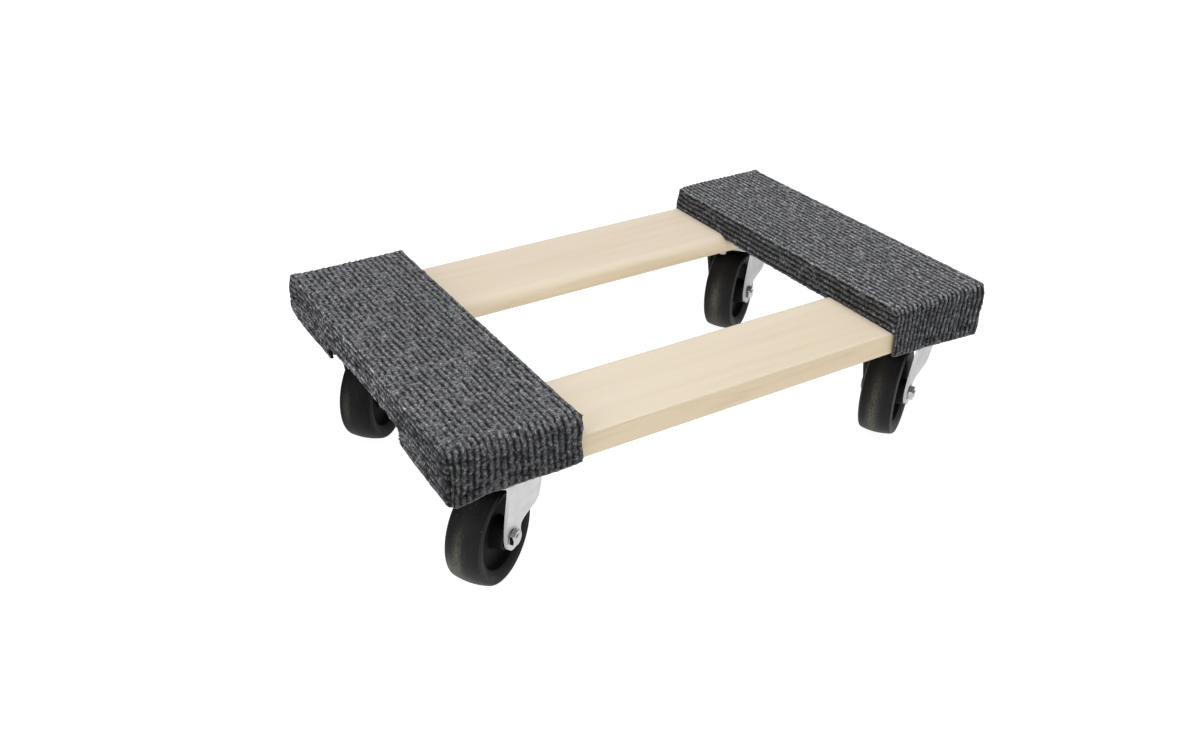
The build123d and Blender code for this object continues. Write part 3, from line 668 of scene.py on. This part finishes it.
def carpet(pad):
    start, stop = pad.notch
    seed = pad.seed
    xs = runs(X_IN, 0.75, X_OUT)
    marks = sorted({start, stop, -ON_RAIL, ON_RAIL, -TURNED, TURNED})
    ys = runs(-Y_END, *(v for mark in (*marks, Y_END) for v in (1.0, mark)))
    zs = runs(Z_HEM, 0.78, Z_FLAP, 0.7, Z_RAIL, 0.77, Z_TOP)
    inner_flap, outer_flap = runs(X_IN, 1.2, X_IN + FLAP), runs(X_OUT - FLAP, 1.2, X_OUT)
    sharp, quads = welded(patches(pad, xs, ys, zs, inner_flap, outer_flap))
    w = Wrapped(pad, sharp, quads)
    x, y, z, across, along, place = w.x, w.y, w.z, w.across, w.along, w.place

    # lighter on top than on the faces: painted light from above, partly wear where loads rub; the top is also fuzzier
    wear_and_top_light = smooth(w.normal[:, 2], 0.25, 0.95)
    wear_and_top_light = np.clip(wear_and_top_light * (1.0 + 0.18 * ripple(across / 19.0, along / 23.0, 2.0, seed + 4)), 0.0, 1.15)

    # ribs: rows of uneven loops; fibres bridge the furrows between them here and there
    outward_edge = smooth(x, 203.0, 224.0) * wear_and_top_light
    loose = pad.fuzz * (1.0 + 0.4 * outward_edge)
    shift = pad.lean(x, y < 0) * np.where(w.end, w.drop, 0.0) + 0.50 * ripple(across / 31.0, along / 24.0, 0.0, seed) \
        + 0.28 * ripple(across / 8.0, along / 5.5, 3.0, seed + 1)
    turn = (across + shift) / PITCH
    number = np.floor(turn + 0.5)
    turn = turn + (0.07 + 0.20 * loose) * ripple(number * 1.71, along / 2.4, 1.3, seed + 7)
    crest = 0.5 + 0.5 * np.cos(2 * math.pi * turn)
    loop = 0.70 * ripple(number * 1.37, along / 1.7, 0.3, seed + 2) + 0.34 * ripple(number * 2.11, along / 3.9, 7.7, seed + 3)
    gap = np.floor(turn)
    clear = ripple(gap * 1.93, along / 4.2, 9.1, seed + 11) + 0.7 * ripple(gap * 2.71, along / 1.9, 3.3, seed + 12)
    closed = pad.closed - 0.20 * (1.0 - wear_and_top_light) + pad.felted * outward_edge
    clear = smooth(clear, closed - 0.45, closed + 0.35)
    furrow_shade = (1.0 - crest) ** pad.narrow * (0.30 + 0.70 * clear)
    pit = loose * smooth(ripple(across / 2.6, along / 2.8, 6.6, seed + 13), 0.30, 0.75)
    nub = smooth(ripple(across / 1.9, along / 2.3, 2.2, seed + 14), 0.42, 0.85)
    # tone: darker in the furrows between the ribs as painted shade (pad.sharp sets how dark), lighter on nubs, darker
    # in pits, varied along the loops
    tone = np.clip((1.08 + (0.90 - 0.25 * wear_and_top_light) * loop) * (1.0 - pad.sharp * furrow_shade) - 0.30 * pit
                   + 0.45 * nub * (1.0 - furrow_shade), 0.01, 2.2)
    rough_face = 1.30 + 1.75 * ripple(across / 1.9, along / 3.2, 4.4, seed + 15) + 0.50 * ripple(across / 5.5, along / 6.5, 8.1, seed + 16)
    rough_face = rough_face * (1.0 - pad.dusk * np.exp(-((y + Y_END) / 26.0) ** 2))
    rough_face = rough_face * (1.0 + pad.middle * np.exp(-(y / 55.0) ** 4))
    tone = tone * (1.0 - pad.shade * smooth(-w.normal[:, 1], 0.3, 0.9))
    # the outer faces get banded tone; the inner faces are painted darker overall as painted shade
    tone = tone * np.where(w.sides, np.where(w.outer, np.clip(rough_face, 0.10, 3.0), 0.84), 1.0)
    tone = tone * (1.0 - 0.55 * pad.dusk * np.exp(-((x - X_OUT) ** 2 + (y + Y_END) ** 2) / 30.0 ** 2))
    pile = np.maximum(crest * np.clip(0.72 + 0.60 * loop, 0.12, 1.35), (1.0 - clear) * np.clip(0.45 + 0.30 * loop, 0.1, 0.8))
    pile = pile * (1.0 - 0.5 * pit)
    frayed = 1.0 - 0.72 * np.where(w.low > 0, 1.0 - smooth(z, Z_HEM + 0.3, Z_HEM + 5.0), 0.0)
    stretched = 1.0 - 0.50 * np.exp(-((w.normal[:, 2] - 0.72) / 0.25) ** 2)
    stretched = stretched * (1.0 - 0.72 * np.where(w.sides, np.exp(-((Y_END - np.abs(y)) / 5.5) ** 2), 0.0))
    height = RIB * pile * frayed * stretched + 0.15 * ripple(across / 0.95, along / 1.15, 5.0, seed + 5) - 0.75

    # the two edges of the cut meet at each corner
    side_turn = np.arctan2(np.abs(w.normal[:, 0]), np.abs(w.normal[:, 1]) + 1e-9)
    seam = np.exp(-((side_turn - math.pi / 4) / 0.20) ** 2) * (1.0 - smooth(w.normal[:, 2], 0.05, 0.45))
    seam = np.where(np.abs(y) > Y_END - pad.near_r - 1.0, seam, 0.0)
    seam = seam * pad.seamed
    height = height * (1.0 - 0.6 * seam) - 0.9 * seam

    # staples and tucks
    for face, (a, b), (half_a, half_b), depth, tilt in STAPLED + pad.tucks:
        if face == "outer":
            on, ca = w.sides & w.outer, y
        else:
            on, ca = w.end & ((y < 0) == (face == "near")), x
        rise = z - b - tilt * (ca - a)
        length = 1.0 - smooth(np.abs(ca - a), half_a * 0.7, half_a * 1.25)
        height = height - np.where(on, depth * length * np.exp(-(rise / half_b) ** 2), 0.0)
        height = height + np.where(on, 0.35 * depth * length * np.exp(-((rise - 2.4 * half_b) / (1.6 * half_b)) ** 2), 0.0)
        # painted shade: each dent is also painted darker
        tone = tone * (1.0 - np.where(on, 0.45 * length * np.exp(-(rise / half_b) ** 2), 0.0))

    # cut lower edges, a little uneven
    uneven = 0.45 * ripple(x / 13.0, y / 13.0, 1.0, seed + 6) + 0.22 * ripple(x / 2.6, y / 2.6, 2.0, seed + 7)
    place[:, 2] += w.low ** 2 * uneven
    height = height + w.low * 0.35 * ripple(x / 9.0, y / 9.0, 4.0, seed + 8)
    outer = place + w.normal * height[:, None]

    # plain inner side, on a thinned grid
    close = pad.near_r + 0.5
    coarse_sharp, coarse_quads = welded(patches(
        pad, thinned(xs, 9, (), close), thinned(ys, 12, marks, close), thinned(zs, 7, (Z_FLAP, Z_RAIL), close),
        thinned(inner_flap, 5, (), close), thinned(outer_flap, 5, (), close)))
    back_side = Wrapped(pad, coarse_sharp, coarse_quads)
    inner = back_side.place - back_side.normal * back_side.thick[:, None]

    # rim along every cut edge
    key = lambda p: tuple(np.round(p * 1000).astype(np.int64))
    coarse_index = {key(p): i for i, p in enumerate(coarse_sharp)}
    edges = {}
    for a, b in np.concatenate([quads[:, [i, (i + 1) % 4]] for i in range(4)]):
        edges[(a, b)] = True
    follow = {a: b for a, b in edges if (b, a) not in edges}
    outward = {}
    for a, b in follow.items():
        direction = np.cross(place[b] - place[a], w.normal[a])
        direction /= max(np.linalg.norm(direction), 1e-9)
        for i in (a, b):
            outward[i] = outward.get(i, 0) + direction
    rim = {a: len(outer) + n for n, a in enumerate(follow)}
    rim_points = []
    for a in follow:
        direction = outward[a] / max(np.linalg.norm(outward[a]), 1e-9)
        middle = 0.5 * (outer[a] + place[a] - w.normal[a] * w.thick[a])
        tuft = 0.40 + 0.30 * float(ripple(x[a] / 1.3, y[a] / 1.3, z[a] / 1.3, seed + 9))
        rim_points.append(middle + direction * tuft)
    base = len(outer) + len(rim)
    faces = [tuple(q) for q in quads]
    faces += [(b, a, rim[a], rim[b]) for a, b in follow.items()]
    waiting = set(follow)
    while waiting:
        first = next(a for a in sorted(waiting) if key(sharp[a]) in coarse_index)
        here = first
        while True:
            chain = [here]
            waiting.discard(here)
            while True:
                here = follow[here]
                chain.append(here)
                if key(sharp[here]) in coarse_index:
                    break
                waiting.discard(here)
            ends = base + coarse_index[key(sharp[chain[0]])], base + coarse_index[key(sharp[chain[-1]])]
            faces.append((*[rim[i] for i in reversed(chain)], *ends))
            if here == first:
                break
    faces += [tuple(base + q[::-1]) for q in coarse_quads]

    points = np.concatenate((outer, np.array(rim_points), inner)) * MM
    points[:, 0] *= pad.side
    if pad.side < 0:
        faces = [f[::-1] for f in faces]
    made = new_object(pad.name, points, faces, CARPET)
    spare = len(rim_points) + len(inner)
    cut = 0.75 * np.where(w.low > 0, 1.0 - smooth(z, Z_HEM - 0.2, Z_HEM + 1.3), 0.0)
    # the tone is darker along the corner seams: painted shade in the crease
    looks = np.stack((pad.light * tone * (1.0 - 0.6 * seam), wear_and_top_light, cut), -1)
    edge_looks = np.tile((0.6, 0.0, 1.0), (spare, 1))
    dark = w.torn[list(follow)] > 0.9
    edge_looks[:len(rim_points)][dark] = (0.06, 0.0, 0.0)
    edge_looks[len(rim_points):][back_side.torn > 0.9] = (0.06, 0.0, 0.0)
    set_attribute(made, "pile", np.concatenate((looks, edge_looks)), "FLOAT_VECTOR")
    weave = np.stack((across, along, 0 * across), -1) + np.array((400.0 * (pad.side > 0), 0.0, 0.0))
    set_attribute(made, "weave", np.concatenate((weave, sharp[list(follow)], coarse_sharp)), "FLOAT_VECTOR")
    return made


for pad, node, board in ((LeftPad, "pad_carpet_left", "cross_board_left"),
                         (RightPad, "pad_carpet_right", "cross_board_right")):
    made = carpet(pad)
    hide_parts(node)
    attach(made, "deck")


# ---- wheels --------------------------------------------------------------------------------------
WHEEL_R, WHEEL_W, TRAIL, BUSH_R, HUB = 37.5, 27.5, 10.0, 7.0, 15.3


def rounded(points, radii, pieces=5):
    """A polyline with the corner at each point rounded."""
    out = []
    for i, (p, r) in enumerate(zip(points, radii)):
        p = np.array(p, float)
        if r <= 0 or i in (0, len(points) - 1):
            out.append(p)
            continue
        a, b = np.array(points[i - 1], float) - p, np.array(points[i + 1], float) - p
        la, lb = np.linalg.norm(a), np.linalg.norm(b)
        size = min(r, 0.45 * la, 0.45 * lb)
        out += [(p + a / la * size) * (1 - t) ** 2 + p * 2 * t * (1 - t) + (p + b / lb * size) * t ** 2
                for t in np.linspace(0, 1, pieces)]
    return out


def wheel_section():
    """Half section, from the bore's middle to the crown of the tread: radius and distance from mid plane."""
    half = WHEEL_W / 2
    corners = [(BUSH_R, 0.0), (BUSH_R, HUB), (10.4, HUB), (11.8, 4.8), (18.0, 4.8), (24.4, 4.8), (25.8, half - 3.2),
               (27.4, half - 2.6), (30.0, half - 1.51), (33.5, half - 0.05)]
    line = rounded(corners, [0, 0.3, 0.8, 1.8, 0, 2.6, 0.5, 0.8, 0, 0])
    start, mid, end = np.array(corners[-1]), np.array((35.15, half - 0.62)), np.array((WHEEL_R - 1.4, half - 2.1))
    control = 2 * mid - 0.5 * (start + end)
    line += [start * (1 - t) ** 2 + control * 2 * t * (1 - t) + end * t ** 2 for t in np.linspace(0, 1, 7)[1:]]
    line += [np.array((WHEEL_R - 1.4 * (v / end[1]) ** 2, v)) for v in np.linspace(end[1], 0.0, 13)[1:]]
    return line


# dusty places on the treads: angle and its spread in degrees, place across the tread and its spread, amount
DUST = {
    "front_left": ((197.0, 15.0, 10.0, 6.0, 1.0), (176.0, 26.0, 3.0, 3.0, 0.55), (212.0, 15.0, 1.0, 7.0, 0.42)),
    "front_right": ((200.0, 20.0, 2.5, 4.2, 0.55), (165.0, 26.0, 1.5, 3.4, 0.40), (222.0, 14.0, 3.0, 6.0, 0.35)),
    "rear_right": ((170.0, 24.0, 2.5, 4.0, 0.60), (212.0, 18.0, 3.0, 6.0, 0.35)),
    "rear_left": ((222.0, 14.0, 5.0, 4.5, 0.28), (170.0, 22.0, 7.0, 3.0, 0.30)),
}
# strength of the lighter shoulder band per wheel: partly wear, partly painted highlight
SHOULDER_WEAR_AND_HIGHLIGHT = {"front_left": 0.22, "front_right": 0.90, "rear_right": 0.80, "rear_left": 0.25}


def wheel(name, corner, seed):
    section = wheel_section()
    loop = section + [np.array((r, -w)) for r, w in reversed(section[1:-1])]
    count, n = 144, len(loop)
    angles = np.linspace(0, 2 * math.pi, count, endpoint=False)
    loop = np.array(loop)
    radius, width = np.tile(loop[:, 0], count), np.tile(loop[:, 1], count)
    angle = np.repeat(angles, n)
    local = np.stack((radius * np.cos(angle), width, radius * np.sin(angle)), -1)
    index = np.arange(count * n).reshape(count, n)
    nxt, up_ = np.roll(index, -1, 0), np.roll(index, -1, 1)
    both = np.roll(nxt, -1, 1)
    faces = np.stack((index, up_, both, nxt), -1).reshape(-1, 4)
    yaw = math.radians(YAW[corner])
    roll_way = np.array((-math.sin(yaw), math.cos(yaw), 0.0))
    axle = np.array((-math.cos(yaw), -math.sin(yaw), 0.0))
    centre = np.array((*CASTER_AT[corner], WHEEL_R)) - TRAIL * roll_way
    points = centre + local[:, :1] * roll_way + local[:, 1:2] * axle + local[:, 2:] * np.array((0, 0, 1.0))
    made = new_object(name, points * MM, faces, RUBBER_SHADED if corner == "rear_left" else RUBBER)
    made.data.flip_normals() if volume(made) < 0 else None
    set_attribute(made, "local", local + seed * 211.0, "FLOAT_VECTOR")
    dirt = 0.05 * np.exp(-(width / 6.0) ** 2)
    for at, spread, across, wide, amount in DUST[corner]:
        turn = (np.degrees(angle) - at + 180.0) % 360.0 - 180.0
        dirt = dirt + amount * np.exp(-(turn / spread) ** 2 - ((width - across) / wide) ** 2)
    set_attribute(made, "spin", np.stack((radius, dirt, np.full(len(radius), SHOULDER_WEAR_AND_HIGHLIGHT[corner])), -1), "FLOAT_VECTOR")
    return made


def volume(made):
    made.data.calc_loop_triangles()
    co = np.array([v.co for v in made.data.vertices])
    tri = np.array([t.vertices for t in made.data.loop_triangles])
    a, b, c = co[tri[:, 0]], co[tri[:, 1]], co[tri[:, 2]]
    return float(np.einsum("ij,ij->i", a, np.cross(b, c)).sum() / 6)


for seed, corner in enumerate(YAW):
    made = wheel(corner + "_wheel_solid", corner, seed)
    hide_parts(corner + "_wheel")
    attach(made, corner + "_wheel")


# ---- floor and light -----------------------------------------------------------------------------
floor_mesh = bpy.data.meshes.new("floor")
floor_mesh.from_pydata([(-9, -9, 0), (9, -9, 0), (9, 9, 0), (-9, 9, 0)], [], [(0, 1, 2, 3)])
floor = bpy.data.objects.new("floor", floor_mesh)
scene.collection.objects.link(floor)
s = Shader("floor_paper")
diffuse = s.node("ShaderNodeBsdfDiffuse")
diffuse.inputs["Color"].default_value = (0.26, 0.26, 0.26, 1)
glow = s.node("ShaderNodeEmission")
glow.inputs["Color"].default_value = (1, 1, 1, 1)
glow.inputs["Strength"].default_value = 0.93
both = s.node("ShaderNodeAddShader")
s.put(both.inputs[0], diffuse.outputs[0])
s.put(both.inputs[1], glow.outputs[0])
s.tree.links.new(both.outputs[0], s.out.inputs["Surface"])
floor_mesh.materials.append(s.material)

world = bpy.data.worlds.new("studio")
scene.world = world
world.use_nodes = True
world.node_tree.nodes["Background"].inputs["Color"].default_value = (1.0, 1.0, 1.0, 1)
world.node_tree.nodes["Background"].inputs["Strength"].default_value = 0.32


def soft_box(name, at, aim, size, watts):
    data = bpy.data.lights.new(name, "AREA")
    data.shape, data.size, data.energy = "SQUARE", size, watts
    lamp = bpy.data.objects.new(name, data)
    lamp.location = at
    lamp.rotation_euler = (Vector(aim) - Vector(at)).to_track_quat("-Z", "Y").to_euler()
    scene.collection.objects.link(lamp)


soft_box("overhead", (-0.2, 0.1, 2.6), (0, 0, 0.1), 2.6, 64)
soft_box("left", (-2.2, -0.9, 1.5), (0, 0, 0.1), 1.5, 14)
soft_box("front", (-0.4, -2.4, 0.9), (0, 0, 0.1), 1.6, 9)

scene.view_settings.view_transform = "Standard"
scene.view_settings.look = "None"
scene.view_settings.exposure = 0.0
scene.view_settings.gamma = 1.0
